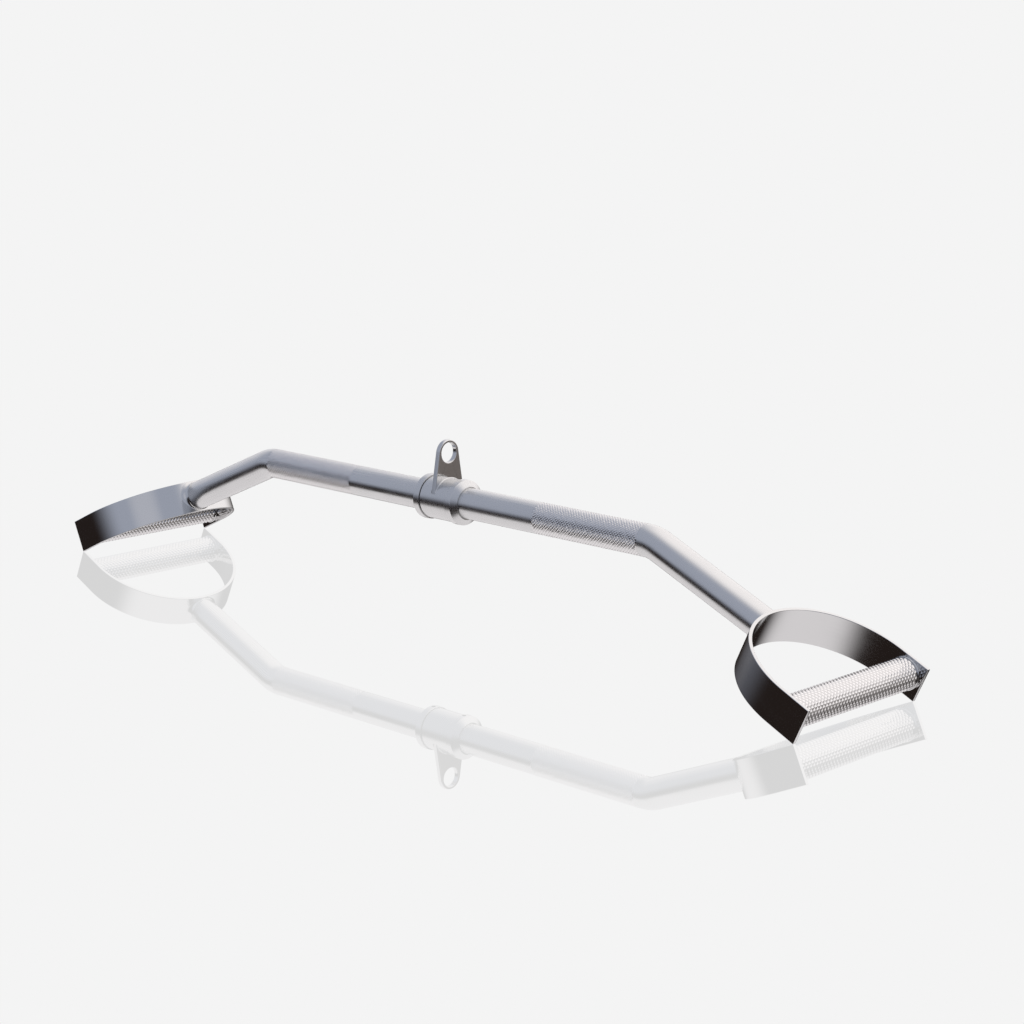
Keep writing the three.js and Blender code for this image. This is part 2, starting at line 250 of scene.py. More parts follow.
class Shell:
    """Collects the points and faces of one piece. Each point has marks, its metres along and
    across the surface's finishing marks, kept as a UV map. wrap is what the marks grow by from
    the last point of a closed ring to its first. A faceted piece has flat shaded knurling."""

    def __init__(self, wrap=(0.0, 0.0), faceted=False):
        self.wrap, self.faceted = wrap, faceted
        self.points, self.marks, self.grooves = [], [], set()
        self.faces, self.knurled = [], []

    def point(self, place, marks):
        self.points.append(tuple(place))
        self.marks.append(marks)
        return len(self.points) - 1

    def face(self, corners, knurled=False):
        """Corners are pairs of a point's index and its turns past the ring's seam."""
        self.faces.append(corners)
        self.knurled.append(knurled)

    def bridge(self, ring, other):
        """Faces between two closed rings with as many points."""
        last = len(ring) - 1
        for i in range(len(ring)):
            j, turn = (0, 1) if i == last else (i + 1, 0)
            self.face([(ring[i], 0), (ring[j], turn), (other[j], turn), (other[i], 0)])

    def fan(self, coarse, fine):
        """Faces between a closed ring and one with a whole number of times its points."""
        times = len(fine) // len(coarse)
        for i, here in enumerate(coarse):
            following = (coarse[0], 1) if i == len(coarse) - 1 else (coarse[i + 1], 0)
            middle = times * i + times // 2
            for k in range(times * i, times * (i + 1)):
                after = (fine[0], 1) if k == len(fine) - 1 else (fine[k + 1], 0)
                near = (here, 0) if k < middle else following
                self.face([near, (fine[k], 0), after])
            self.face([(here, 0), (fine[middle], 0), following])

    def loop(self, rings):
        """Faces from each ring to the next, and from the last to the first."""
        for ring, other in zip(rings, rings[1:] + rings[:1]):
            self.bridge(ring, other)

    def capped(self, rings):
        """Faces from each ring to the next, with a cap on the first and the last."""
        for ring, other in zip(rings, rings[1:]):
            self.bridge(ring, other)
        for ring in (rings[0], rings[-1]):
            self.face([(i, 0) for i in ring])

    def finish(self, node, body, slot, maker=None):
        """Makes the object that stands for a CAD node, in its slot's finish or in maker's."""
        mesh = bpy.data.meshes.new(node + "_finished")
        mesh.from_pydata(self.points, [], [[i for i, _ in corners] for corners in self.faces])
        marks = [self.marks[i][k] + turn * self.wrap[k]
                 for corners in self.faces for i, turn in corners for k in (0, 1)]
        mesh.uv_layers.new(name="marks").uv.foreach_set("vector", marks)
        shape = bmesh.new()
        shape.from_mesh(mesh)
        bmesh.ops.recalc_face_normals(shape, faces=shape.faces)
        shape.to_mesh(mesh)
        shape.free()
        mesh.set_sharp_from_angle(angle=SHARP)
        if self.faceted:
            mesh.polygons.foreach_set("use_smooth", [not knurled for knurled in self.knurled])
        # the knurl's material paints shade into the grooves
        groove = mesh.attributes.new("groove", "FLOAT", "POINT").data
        groove.foreach_set("value", [float(i in self.grooves) for i in range(len(self.points))])
        mesh.validate()
        piece = bpy.data.objects.new(node + "_finished", mesh)
        bpy.context.scene.collection.objects.link(piece)
        mesh.materials.append((maker or FINISH_MAKERS[slot])())
        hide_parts(node)
        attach(piece, body)
        return piece

    def second_finish(self, piece, maker, knurled):
        """Gives the piece's knurled faces, or its plain ones, a finish of their own."""
        piece.data.materials.append(maker())
        piece.data.polygons.foreach_set(
            "material_index", [int(face == knurled) for face in self.knurled])


def rounded(corners):
    """Closed outline from corners of x, y and rounding, with a point close to each end of a
    rounding that keeps the flats flat in the shading."""
    steps = 4
    # a rounding takes at most this share of a side
    most = 0.4
    # the point on the flat lies this far from the corner, in lengths of the rounding
    beyond = 1.25
    outline = []
    for k, (x, y, radius) in enumerate(corners):
        here = Vector((x, y))
        before = Vector(corners[k - 1][:2]) - here
        after = Vector(corners[(k + 1) % len(corners)][:2]) - here
        if not radius:
            outline.append(here)
            continue
        reach = min(radius / tan(before.angle(after) / 2), most * before.length,
                    most * after.length)
        before, after = before.normalized() * reach, after.normalized() * reach
        outline.append(here + before * beyond)
        for i in range(steps + 1):
            outline.append(here + before * (1 - i / steps) ** 2 + after * (i / steps) ** 2)
        outline.append(here + after * beyond)
    return outline


def turns(points):
    """Angles of a ring's points."""
    return [2 * pi * i / points for i in range(points)]


def along_bar(along, radius, turn):
    return Vector((along, radius * cos(turn), AXIS_HEIGHT + radius * sin(turn)))


def turned_piece(profile, points, place, reference):
    """Shell of a closed profile of along and radius turned round its axis, with turning marks
    that run round it. reference is the radius at which the marks are measured."""
    shell = Shell((2 * pi * reference, 0))
    rings, run, last = [], 0.0, profile[0]
    for spot in profile:
        run += hypot(spot[0] - last[0], spot[1] - last[1])
        last = spot
        rings.append([shell.point(place(*spot, a), (a * reference, run)) for a in turns(points)])
    shell.loop(rings)
    return shell


def tube_ring(shell, place, along, radius, points):
    """Ring of a tube whose finishing marks run along it. along is a number, or a function of the
    angle round the tube."""
    ring = []
    for a in turns(points):
        at = along(a) if callable(along) else along
        ring.append(shell.point(place(at, radius, a), (at, a * shell.wrap[1] / (2 * pi))))
    return ring


def knurl(shell, place, start, end, radius, sizes):
    """Diamond knurling between two places: crossing grooves with a flat-topped pyramid in each
    diamond. Gives its first and last ring, of as many points as there are diamonds round it."""
    around = sizes.knurl_around
    rows = 2 * round((end - start) / sizes.knurl_pitch)
    half = (end - start) / rows
    # size of a pyramid's flat top, as a share of its diamond
    top = 0.2

    def spot(m, j, r):
        along = start + m * half
        marks = (along, j / (2 * around) * shell.wrap[1])
        return shell.point(place(along, r, pi * j / around), marks)

    def corner(m, j):
        return groove[m, j % (2 * around)], j // (2 * around)

    groove = {}
    for m in range(rows + 1):
        bottom = radius if m in (0, rows) else radius - sizes.knurl_depth
        for j in range(m % 2, 2 * around, 2):
            groove[m, j] = spot(m, j, bottom)
    shell.grooves.update(groove.values())
    crest = radius + sizes.knurl_rise
    for m in range(1, rows):
        for j in range((m + 1) % 2, 2 * around, 2):
            low = [corner(m - 1, j), corner(m, j - 1), corner(m + 1, j), corner(m, j + 1)]
            high = [(spot(m + dm * top, j + dj * top, crest), 0)
                    for dm, dj in ((-1, 0), (0, -1), (1, 0), (0, 1))]
            for k in range(4):
                shell.face([low[k - 1], low[k], high[k], high[k - 1]], knurled=True)
            shell.face(high, knurled=True)
    for edge, inner in ((0, 1), (rows, rows - 1)):
        for j in range(1, 2 * around, 2):
            shell.face([corner(edge, j - 1), corner(edge, j + 1), corner(inner, j)], knurled=True)
    return [[groove[m, j] for j in range(0, 2 * around, 2)] for m in (0, rows)]


def fillet(root, bead):
    """Closed section of a weld with a hollow face, as heights over the plate and radii round the
    tube's axis. root is the tube's radius and bead the weld's leg length."""
    steps = 8
    section = [(-SUNK, root - SUNK), (-SUNK, root + bead)]
    for i in range(steps + 1):
        turn = pi / 2 * i / steps
        section.append(((1 - cos(turn)) * bead, root + (1 - sin(turn)) * bead))
    return section + [(bead, root - SUNK)]


# Finishes

def add(tree, kind, links=None, **settings):
    """Adds a node with its settings. links maps an input's name or number to an output socket or
    a value."""
    item = tree.nodes.new(kind)
    for name, value in settings.items():
        setattr(item, name, value)
    for key, value in (links or {}).items():
        if isinstance(value, bpy.types.NodeSocket):
            tree.links.new(value, item.inputs[key])
        else:
            item.inputs[key].default_value = value
    return item


def empty_tree(owner):
    """Node tree of a material or world, with nothing in it."""
    owner.use_nodes = True
    owner.node_tree.nodes.clear()
    return owner.node_tree


def metal(name, base, roughness, mark_length, mark_width, depth, spread, painted_groove_shade=0.0):
    """Metal with finishing marks. mark_length and mark_width are the size of one mark and depth
    is how deep it looks, all in millimetres. spread is how far the roughness wanders,
    painted_groove_shade how much shade is painted into the grooves."""
    if name in bpy.data.materials:
        return bpy.data.materials[name]
    material = bpy.data.materials.new(name)
    tree = empty_tree(material)
    marks = add(tree, "ShaderNodeUVMap", uv_map="marks").outputs["UV"]
    scale = (1 / (mark_length * MM), 1 / (mark_width * MM), 1)
    stretched = add(tree, "ShaderNodeMapping", {"Vector": marks, "Scale": scale}).outputs["Vector"]
    strokes = add(tree, "ShaderNodeTexNoise", {
        "Vector": stretched, "Scale": 1.0, "Detail": 3.0, "Roughness": 0.6},
        noise_dimensions="2D").outputs[0]
    # Handling and polishing leave softer cloudy patches, 35 to a metre, so some 29 mm across.
    cloud = add(tree, "ShaderNodeTexNoise", {
        "Vector": marks, "Scale": 35.0, "Detail": 2.0, "Roughness": 0.5},
        noise_dimensions="2D").outputs[0]
    mixed = add(tree, "ShaderNodeMath", {0: strokes, 1: cloud}, operation="MULTIPLY").outputs[0]
    # The product of the two lies mostly between 0.1 and 0.45.
    rough = add(tree, "ShaderNodeMapRange", {
        "Value": mixed, "From Min": 0.1, "From Max": 0.45,
        "To Min": max(roughness - spread, 0), "To Max": roughness + spread}).outputs["Result"]
    bump = add(tree, "ShaderNodeBump", {
        "Height": strokes, "Strength": 1.0, "Distance": depth * MM}).outputs["Normal"]
    # painted shade: the points in the knurls' grooves are mixed towards a dark colour
    if painted_groove_shade:
        groove = add(tree, "ShaderNodeAttribute", attribute_name="groove").outputs["Fac"]
        deep = add(tree, "ShaderNodeMapRange", {"Value": groove, "To Max": painted_groove_shade},
                   interpolation_type="SMOOTHERSTEP").outputs["Result"]
        base = add(tree, "ShaderNodeMix", {0: deep, 6: base, 7: finishes().painted_groove_shade},
                   data_type="RGBA").outputs[2]
    shader = add(tree, "ShaderNodeBsdfPrincipled", {
        "Base Color": base, "Metallic": 1.0, "Roughness": rough, "Normal": bump})
    add(tree, "ShaderNodeOutputMaterial", {"Surface": shader.outputs["BSDF"]})
    return material


def finishes():
    return bpy.context.scene.shovel_finishes


def drawn_tube():
    # Drawn steel tube, belt polished along its length and chrome plated: a satin mirror with
    # faint long streaks. Real belt marks are under 0.1 mm wide; they are drawn 0.7 mm wide to
    # show.
    look = finishes()
    return metal("Polished chrome plate on drawn tube", look.chrome, look.gloss + 0.14,
                 60, 0.7, 0.004, 0.05)


def rolled_strap():
    # Rolled flat bar, linished and buffed along its length and chrome plated: long straight
    # streaks. The marks are drawn 0.8 mm wide, some ten times the real ones.
    look = finishes()
    return metal("Linished chrome plate on flat bar", look.chrome, look.gloss - 0.02,
                 80, 0.8, 0.001, 0.02)


def rolled_knurl():
    # Diamond knurl rolled into the grips and chrome plated. Its facets are painted lighter than
    # the tube's chrome, a painted highlight, and its grooves darker, a painted shade. Fine
    # pitting, drawn
    # 1 mm across, some ten times the real.
    look = finishes()
    return metal("Chrome plate on rolled diamond knurl", look.bright, look.gloss - 0.06,
                 1.2, 1.0, 0.002, 0.02, painted_groove_shade=0.3)


def uneven_knurl():
    # The bar's knurl, whose diamonds are less even: each, 3 mm long, is pressed a little deeper
    # or shallower than the next, so that they glint unevenly. Its facets are painted lighter than
    # the tube's chrome, a painted highlight, and its grooves darker, a painted shade.
    look = finishes()
    return metal("Chrome plate on uneven diamond knurl", look.bright, look.gloss - 0.06,
                 3.0, 2.6, 0.4, 0.02, painted_groove_shade=0.27)


def turned_chrome():
    # Steel turned on a lathe and chrome plated: fine rings round the part. The feed marks are
    # drawn 0.6 mm apart, several times the real feed.
    look = finishes()
    return metal("Chrome plate on turned steel", look.chrome, look.gloss + 0.14,
                 50, 0.6, 0.006, 0.05)


def ground_weld():
    # Weld bead ground and polished before plating: soft waves some 3 mm across.
    look = finishes()
    return metal("Chrome plate on ground weld", look.chrome, look.gloss + 0.06,
                 4, 3, 0.03, 0.04)


def sintered_bronze():
    # Sintered bronze, oily and finely pored. The pores are drawn 0.5 mm across, several times
    # the real ones.
    return metal("Sintered bronze", finishes().bronze, 0.38,
                 0.5, 0.5, 0.01, 0.08)


def black_oxide():
    # Hardened steel with black oxide: dark, satin, slightly oily, with a grain drawn 0.5 mm
    # across.
    return metal("Black oxide steel", finishes().oxide, 0.42,
                 0.5, 0.5, 0.008, 0.06)


FINISH_MAKERS = {
    "bar": drawn_tube, "strap": rolled_strap, "knurl": rolled_knurl, "hanger": turned_chrome,
    "weld": ground_weld, "bush": sintered_bronze, "screw": black_oxide,
}


# Pieces

class BarEnd:
    """The right end of the bar, or the left end, which is the right one turned half round."""

    def __init__(self, name):
        self.name = name
        self.facing = 1 if name == "right" else -1
        scene = bpy.context.scene
        self.bar, self.handle = scene.shovel_bar, scene.shovel_handle
        down = self.bar.leg_angle
        self.leg = Vector((cos(down), 0, -sin(down)))
        self.leg_up = Vector((sin(down), 0, cos(down)))
        corner = Vector((self.bar.corner_half, 0, AXIS_HEIGHT))
        self.apex = corner + self.leg * self.bar.leg_length
        self.centre = self.apex + self.handle.out * self.handle.strap_radius

    def turned(self, point):
        return Vector((self.facing * point.x, self.facing * point.y, point.z))

    def round_bar(self, along, radius, turn):
        """Point round the straight middle of the bar."""
        return self.turned(along_bar(along, radius, turn))

    def in_handle(self, outward, across, up):
        """Point from its place in the handle's own frame."""
        place = self.centre + self.handle.out * outward + self.handle.up * up
        return self.turned(place + Vector((0, across, 0)))

    def round_grip(self, along, radius, turn):
        """Point round the grip's axis."""
        forward = self.handle.strap_straight - self.handle.grip_setback
        return self.in_handle(forward + radius * cos(turn), along, radius * sin(turn))

    def strap_face(self, across, above):
        """Distance past the apex at which a line along the leg meets the strap's outer face."""
        start = self.apex + self.leg_up * above + Vector((0, across, 0)) - self.centre
        up = self.handle.up
        place, course = start - up * start.dot(up), self.leg - up * self.leg.dot(up)
        a, b = course.dot(course), place.dot(course)
        c = place.dot(place) - self.handle.strap_radius ** 2
        return (-b - sqrt(b * b - a * c)) / a


def both_ends():
    return BarEnd("right"), BarEnd("left")


class SHOVEL_OT_bar(bpy.types.Operator):
    """Draws the bent bar with its two knurled zones"""
    bl_idname = "shovel.bar"
    bl_label = "Bar"

    def execute(self, context):
        bar = context.scene.shovel_bar
        right = BarEnd("right")
        shell = Shell((0, 2 * pi * bar.radius))
        points = 4 * bar.knurl_around
        knurl_outer = bar.bend_start - bar.knurl_gap
        # the plain tube starts this far past the knurl's outer and inner edges
        past_outer, past_inner = 0.15 * MM, 0.5 * MM
        # the cut ends run this far into the straps
        seat = 0.3 * MM
        # the last square ring stays clear of the curved cut
        last_square = bar.end - 6 * MM
        bend_steps = 24
        bends = [bar.bend_start + bar.bend_length * i / bend_steps for i in range(bend_steps + 1)]
        legs = [bends[-1] + (last_square - bends[-1]) * part for part in (0.03, 0.5, 1)]

        def cut_end(side, radius):
            def along(a):
                face = right.strap_face(radius * cos(a), radius * sin(a))
                return side * (bar.end + face + seat)
            return along

        def run(side, radius, stations):
            rings = [tube_ring(shell, bar.place, side * s, radius, points) for s in stations]
            rings.append(tube_ring(shell, bar.place, cut_end(side, radius), radius, points))
            for ring, other in zip(rings, rings[1:]):
                shell.bridge(ring, other)
            return rings[0], rings[-1]

        outer_ends, inner_starts, inner_ends = [], [], []
        knurl_starts = {}
        for side in (-1, 1):
            edges = sorted((side * bar.knurl_inner, side * knurl_outer))
            first, last = knurl(shell, bar.place, *edges, bar.radius, bar)
            toward_middle, toward_bend = (first, last) if side > 0 else (last, first)
            start, end = run(side, bar.radius, [knurl_outer + past_outer, *bends, *legs])
            shell.fan(toward_bend, start)
            outer_ends.append(end)
            plain = tube_ring(shell, bar.place, side * (bar.knurl_inner - past_inner),
                              bar.radius, points)
            shell.fan(toward_middle, plain)
            knurl_starts[side] = plain
            start, end = run(side, bar.radius - bar.wall,
                             [bar.knurl_inner, *bends[::4], legs[-1]])
            inner_starts.append(start)
            inner_ends.append(end)
        middle = tube_ring(shell, bar.place, 0.0, bar.radius, points)
        shell.bridge(knurl_starts[-1], middle)
        shell.bridge(middle, knurl_starts[1])
        shell.bridge(*inner_starts)
        for outer, inner in zip(outer_ends, inner_ends):
            shell.bridge(outer, inner)
        piece = shell.finish("bar", "handle_bar", "bar")
        shell.second_finish(piece, uneven_knurl, knurled=True)
        return {"FINISHED"}


class SHOVEL_OT_straps(bpy.types.Operator):
    """Draws the two handle straps, flat bar bent to a D"""
    bl_idname = "shovel.straps"
    bl_label = "Handle straps"

    def execute(self, context):
        sizes = context.scene.shovel_handle
        half, edge, thick = sizes.strap_width / 2, sizes.strap_edge, sizes.strap_thickness
        section = rounded([(0, half, edge), (0, -half, edge),
                           (-thick, -half, edge), (-thick, half, edge)])
        runs, run = [], 0.0
        for k, spot in enumerate(section):
            run += (spot - section[k - 1]).length if k else 0
            runs.append(run)
        perimeter = run + (section[0] - section[-1]).length
        radius, arm, arc_steps = sizes.strap_radius, sizes.strap_straight, 160
        total = 2 * arm + pi * radius
        # a ring this far from each end keeps the arms flat in the shading
        settled = 3 * edge
        # the sawn ends keep nearly sharp edges; each ring there: distance out, inset
        burr, burr_steps, sawn = 0.12 * MM, 4, []
        for i in range(burr_steps + 1):
            turn = pi / 2 * (1 - i / burr_steps)
            sawn.append((arm - burr + burr * sin(turn), burr * (1 - cos(turn))))
        # each ring of the path: place out and across, normal, inset, length along the strap
        path = [((out, -radius), (0, -1), inset, arm - out) for out, inset in sawn]
        path.append(((arm - settled, -radius), (0, -1), 0, settled))
        for i in range(arc_steps + 1):
            a = pi * i / arc_steps
            normal = (-sin(a), -cos(a))
            path.append(((normal[0] * radius, normal[1] * radius), normal, 0, arm + a * radius))
        path.append(((arm - settled, radius), (0, 1), 0, total - settled))
        path += [((out, radius), (0, 1), inset, total - arm + out)
                 for out, inset in reversed(sawn)]
        for side in both_ends():
            shell = Shell((0, perimeter))
            rings = []
            for (out, across), normal, inset, along in path:
                ring = []
                for (depth, up), v in zip(section, runs):
                    depth = -thick / 2 + (depth + thick / 2) * (1 - 2 * inset / thick)
                    up = up * (1 - inset / half)
                    place = side.in_handle(out + normal[0] * depth, across + normal[1] * depth, up)
                    ring.append(shell.point(place, (along, v)))
                rings.append(ring)
            shell.capped(rings)
            shell.finish(side.name + "_handle_strap", "handle_bar", "strap")
        return {"FINISHED"}


class SHOVEL_OT_grips(bpy.types.Operator):
    """Draws the knurled grip tubes between the arms of the straps"""
    bl_idname = "shovel.grips"
    bl_label = "Grips"

    def execute(self, context):
        sizes = context.scene.shovel_handle
        points = 8 * sizes.knurl_around
        radius, bore = sizes.grip_radius, sizes.grip_radius - sizes.grip_wall
        half, edge = sizes.grip_half, sizes.grip_half - sizes.grip_plain
        # the plain tube starts this far past the knurl
        past = 0.4 * MM
        for side in both_ends():
            place = side.round_grip
            shell = Shell((0, 2 * pi * radius), faceted=True)
            first, last = knurl(shell, place, -edge, edge, radius, sizes)
            bores = []
            for ring, sign in ((first, -1), (last, 1)):
                plain = tube_ring(shell, place, sign * (edge + past), radius, points)
                outer = tube_ring(shell, place, sign * half, radius, points)
                inner = tube_ring(shell, place, sign * half, bore, points)
                shell.fan(ring, plain)
                shell.bridge(plain, outer)
                shell.bridge(outer, inner)
                bores.append(inner)
            shell.bridge(*bores)
            piece = shell.finish(side.name + "_grip", "handle_bar", "knurl")
            shell.second_finish(piece, drawn_tube, knurled=False)
        return {"FINISHED"}


class SHOVEL_OT_grip_welds(bpy.types.Operator):
    """Draws the weld rings between grips and straps"""
    bl_idname = "shovel.grip_welds"
    bl_label = "Grip welds"

    def execute(self, context):
        sizes = context.scene.shovel_handle
        half, root, points = sizes.grip_half, sizes.grip_radius, 96
        profile = [(half - lift, radius) for lift, radius in fillet(root, sizes.grip_bead)]
        for side in both_ends():
            for end in (-1, 1):
                def place(along, radius, turn):
                    return side.round_grip(end * along, radius, turn)

                front = end * side.facing < 0
                node = side.name + ("_grip_weld_front" if front else "_grip_weld_back")
                turned_piece(profile, points, place, root).finish(node, "handle_bar", "weld")
        return {"FINISHED"}


class SHOVEL_OT_leg_welds(bpy.types.Operator):
    """Draws the fillet welds between the bar's ends and the straps"""
    bl_idname = "shovel.leg_welds"
    bl_label = "Leg welds"

    def execute(self, context):
        sizes, bar = context.scene.shovel_handle, context.scene.shovel_bar
        root, points = bar.radius, 128
        flat_half = sizes.strap_width / 2 - sizes.strap_edge
        narrowest = 0.2 * MM
        # how much of the bead is gone at its lowest point
        thinning = 0.8
        for side in both_ends():
            shell = Shell((2 * pi * root, 0))
            columns = []
            for a in turns(points):
                # the bead fills no more than the strap's flat leaves free above and below it
                room = max(flat_half / max(abs(sin(a)), 1e-6) - root, narrowest)
                full = sizes.leg_bead * (1 + thinning * min(sin(a), 0))
                # the smaller of the two, with a soft change from one to the other
                bead = (full ** -4 + room ** -4) ** -0.25
                column = []
                for lift, radius in fillet(root, bead):
                    across, above = radius * cos(a), radius * sin(a)
                    along = side.strap_face(across, above) - lift
                    place = side.apex + side.leg * along + side.leg_up * above
                    place = side.turned(place + Vector((0, across, 0)))
                    column.append(shell.point(place, (a * root, radius - lift)))
                columns.append(column)
            shell.loop(list(zip(*columns)))
            shell.finish(side.name + "_leg_weld", "handle_bar", "weld")
        return {"FINISHED"}


class SHOVEL_OT_collars(bpy.types.Operator):
    """Draws the two collars that keep the sleeve in its place, each with a hole for its screw"""
    bl_idname = "shovel.collars"
    bl_label = "Collars"

    def execute(self, context):
        sizes, bar = context.scene.shovel_hanger, context.scene.shovel_bar
        start, end = sizes.collar_start, sizes.collar_start + sizes.collar_width
        radius, bore = sizes.collar_radius, bar.radius + FIT
        edge, bore_edge, slope_edge = sizes.sleeve_edge, 0.2 * MM, 1.2 * sizes.sleeve_edge
        profile = rounded([
            (start, bore, bore_edge), (start, radius, edge),
            (end - sizes.slope_length, radius, slope_edge),
            (end, radius - sizes.slope_depth, edge), (end, bore, bore_edge)])
        points, drill_points = 160, 40
        for side in both_ends():
            piece = turned_piece(profile, points, side.round_bar, radius).finish(
                side.name + "_collar", "handle_bar", "hanger")
            drill = bpy.data.meshes.new("drill")
            shape = bmesh.new()
            bmesh.ops.create_cone(shape, cap_ends=True, segments=drill_points, depth=radius,
                                  radius1=sizes.screw_radius, radius2=sizes.screw_radius)
            at = side.turned(Vector((sizes.screw_place, 0, AXIS_HEIGHT - radius)))
            bmesh.ops.translate(shape, verts=shape.verts, vec=at)
            shape.to_mesh(drill)
            shape.free()
            cutter = bpy.data.objects.new("drill", drill)
            context.scene.collection.objects.link(cutter)
            hole = piece.modifiers.new("screw hole", "BOOLEAN")
            hole.operation, hole.solver, hole.object = "DIFFERENCE", "EXACT", cutter
            context.view_layer.update()
            cut = bpy.data.meshes.new_from_object(piece.evaluated_get(
                context.evaluated_depsgraph_get()))
            piece.modifiers.clear()
            old, piece.data = piece.data, cut
            cut.set_sharp_from_angle(angle=SHARP)
            bpy.data.objects.remove(cutter)
            bpy.data.meshes.remove(drill)
            bpy.data.meshes.remove(old)
            cut.name = piece.name
        return {"FINISHED"}


class SHOVEL_OT_screws(bpy.types.Operator):
    """Draws the grub screws under the collars, with a hexagon socket"""
    bl_idname = "shovel.screws"
    bl_label = "Collar screws"

    def execute(self, context):
        sizes, bar = context.scene.shovel_hanger, context.scene.shovel_bar
        head, tip = sizes.collar_radius - sizes.screw_inset, bar.radius + FIT
        # clear of its hole, with a bevel at both ends; the socket's mouth is a little wider, and
        # its bottom runs to a point like a drill's
        radius, bevel = sizes.screw_radius - 0.03 * MM, 0.3 * MM
        mouth, wider, point = 0.1 * MM, 1.08, 0.2 * MM
        bottom = head - sizes.socket_depth
        points, apothem = 48, sizes.socket_across / 2

        def hexagon(a):
            return apothem / cos((a + pi / 6) % (pi / 3) - pi / 6)

        def circle(size):
            return lambda a: size

        rounds = [
            (tip, circle(radius - bevel)), (tip + bevel, circle(radius)),
            (head - bevel, circle(radius)), (head, circle(radius - bevel)),
            (head, lambda a: hexagon(a) * wider), (head - mouth, hexagon),
            (bottom, hexagon), (bottom - bevel, circle(point))]
        for side in both_ends():
            shell = Shell()
            rings = []
            for down, reach in rounds:
                ring = []
                for a in turns(points):
                    place = Vector((sizes.screw_place + reach(a) * cos(a), reach(a) * sin(a),
                                    AXIS_HEIGHT - down))
                    ring.append(shell.point(side.turned(place), (a * radius, down)))
                rings.append(ring)
            shell.capped(rings)
            shell.finish(side.name + "_collar_screw", "handle_bar", "screw")
        return {"FINISHED"}


class SHOVEL_OT_sleeve(bpy.types.Operator):
    """Draws the sleeve that swivels on the bar"""
    bl_idname = "shovel.sleeve"
    bl_label = "Swivel sleeve"

    def execute(self, context):
        sizes, bar = context.scene.shovel_hanger, context.scene.shovel_bar
        half, edge, bore_edge = sizes.sleeve_length / 2, sizes.sleeve_edge, 0.15 * MM
        # each end is bored for its bush, a little deeper than that is long, down to a shoulder
        spare, shoulder_depth = 0.3 * MM, 1.2 * MM
        seat = bar.radius + sizes.running_gap + sizes.bush_wall + FIT
        seat_end = half - sizes.bush_inset - sizes.bush_length - spare
        shoulder = seat - shoulder_depth
        points = 160
        profile = rounded([
            (-half, seat, bore_edge), (-half, sizes.sleeve_radius, edge),
            (half, sizes.sleeve_radius, edge), (half, seat, bore_edge),
            (seat_end, seat, 0), (seat_end, shoulder, 0),
            (-seat_end, shoulder, 0), (-seat_end, seat, 0)])
        turned_piece(profile, points, along_bar, sizes.sleeve_radius).finish(
            "swivel_sleeve", "hanger", "hanger")
        return {"FINISHED"}


class SHOVEL_OT_bushes(bpy.types.Operator):
    """Draws the bronze bushes inside the sleeve"""
    bl_idname = "shovel.bushes"
    bl_label = "Bushes"

    def execute(self, context):
        sizes, bar = context.scene.shovel_hanger, context.scene.shovel_bar
        bore, edge, points = bar.radius + sizes.running_gap, 0.2 * MM, 96
        outside, outer = bore + sizes.bush_wall, sizes.sleeve_length / 2 - sizes.bush_inset
        inner = outer - sizes.bush_length
        profile = rounded([(inner, bore, edge), (inner, outside, edge),
                           (outer, outside, edge), (outer, bore, edge)])
        for side in both_ends():
            turned_piece(profile, points, side.round_bar, outside).finish(
                side.name + "_bush", "hanger", "bush")
        return {"FINISHED"}


class SHOVEL_OT_eye_plate(bpy.types.Operator):
    """Draws the eye plate with its hole"""
    bl_idname = "shovel.eye_plate"
    bl_label = "Eye plate"

    def execute(self, context):
        sizes = context.scene.shovel_hanger
        tip, lean, high = sizes.eye_tip_radius, sizes.eye_lean, sizes.eye_tip_height
        tangent = Vector((tip * cos(lean), high + tip * sin(lean)))
        # the sides and the foot end this far inside the sleeve's wall
        sides_sunk, foot_sunk = 0.35 * MM, 2.7 * MM
        foot = sizes.eye_foot(sizes.sleeve_radius - sides_sunk)
        foot_radius = sizes.sleeve_radius - foot_sunk
        side_steps, tip_steps, foot_steps, edge_steps = 10, 56, 20, 4
        # each point of the outline with the course in which its edge is rounded
        inward = Vector((-cos(lean), -sin(lean)))
        outline = [(foot.lerp(tangent, i / side_steps), inward) for i in range(side_steps)]
        for i in range(tip_steps + 1):
            turn = lean + (pi - 2 * lean) * i / tip_steps
            away = Vector((cos(turn), sin(turn)))
            outline.append((Vector((0, high)) + away * tip, -away))
        outline += [(Vector((-p[0], p[1])), Vector((-q[0], q[1])))
                    for p, q in outline[side_steps - 1::-1]]
        spread = atan2(foot[0], foot[1])
        for i in range(foot_steps + 1):
            turn = -spread + 2 * spread * i / foot_steps
            away = Vector((sin(turn), cos(turn)))
            # the hidden foot is hardly rounded
            outline.append((away * foot_radius, away * 0.1))
        hole_centre = Vector((0, sizes.eye_hole_height))
        half, edge = sizes.eye_thickness / 2, sizes.eye_edge
        # inset and height of the rounded edge, with a point past each end of it that keeps the
        # plate's side and face flat in the shading
        past_side, past_face = 0.1 * MM, 0.12 * MM
        rim = [(0.0, half - edge - past_side)]
        for k in range(edge_steps + 1):
            turn = pi / 2 * k / edge_steps
            rim.append((edge * (1 - cos(turn)), half - edge + edge * sin(turn)))
        rim.append((edge + past_face, half))
        shell = Shell()
        rings = []
        for spot, inward in outline:
            away = (spot - hole_centre).normalized()
            hole = hole_centre + away * sizes.eye_hole_radius
            outer = [(spot + inward * inset, x) for inset, x in rim]
            inner = [(hole + away * inset, x) for inset, x in rim]
            section = outer + inner[::-1]
            section += [(place, -x) for place, x in inner + outer[::-1]]
            rings.append([shell.point((x, place[0], AXIS_HEIGHT + place[1]),
                                      (place[1], place[0] + x)) for place, x in section])
        shell.loop(rings)
        shell.finish("eye_plate", "hanger", "hanger", rolled_strap)
        return {"FINISHED"}


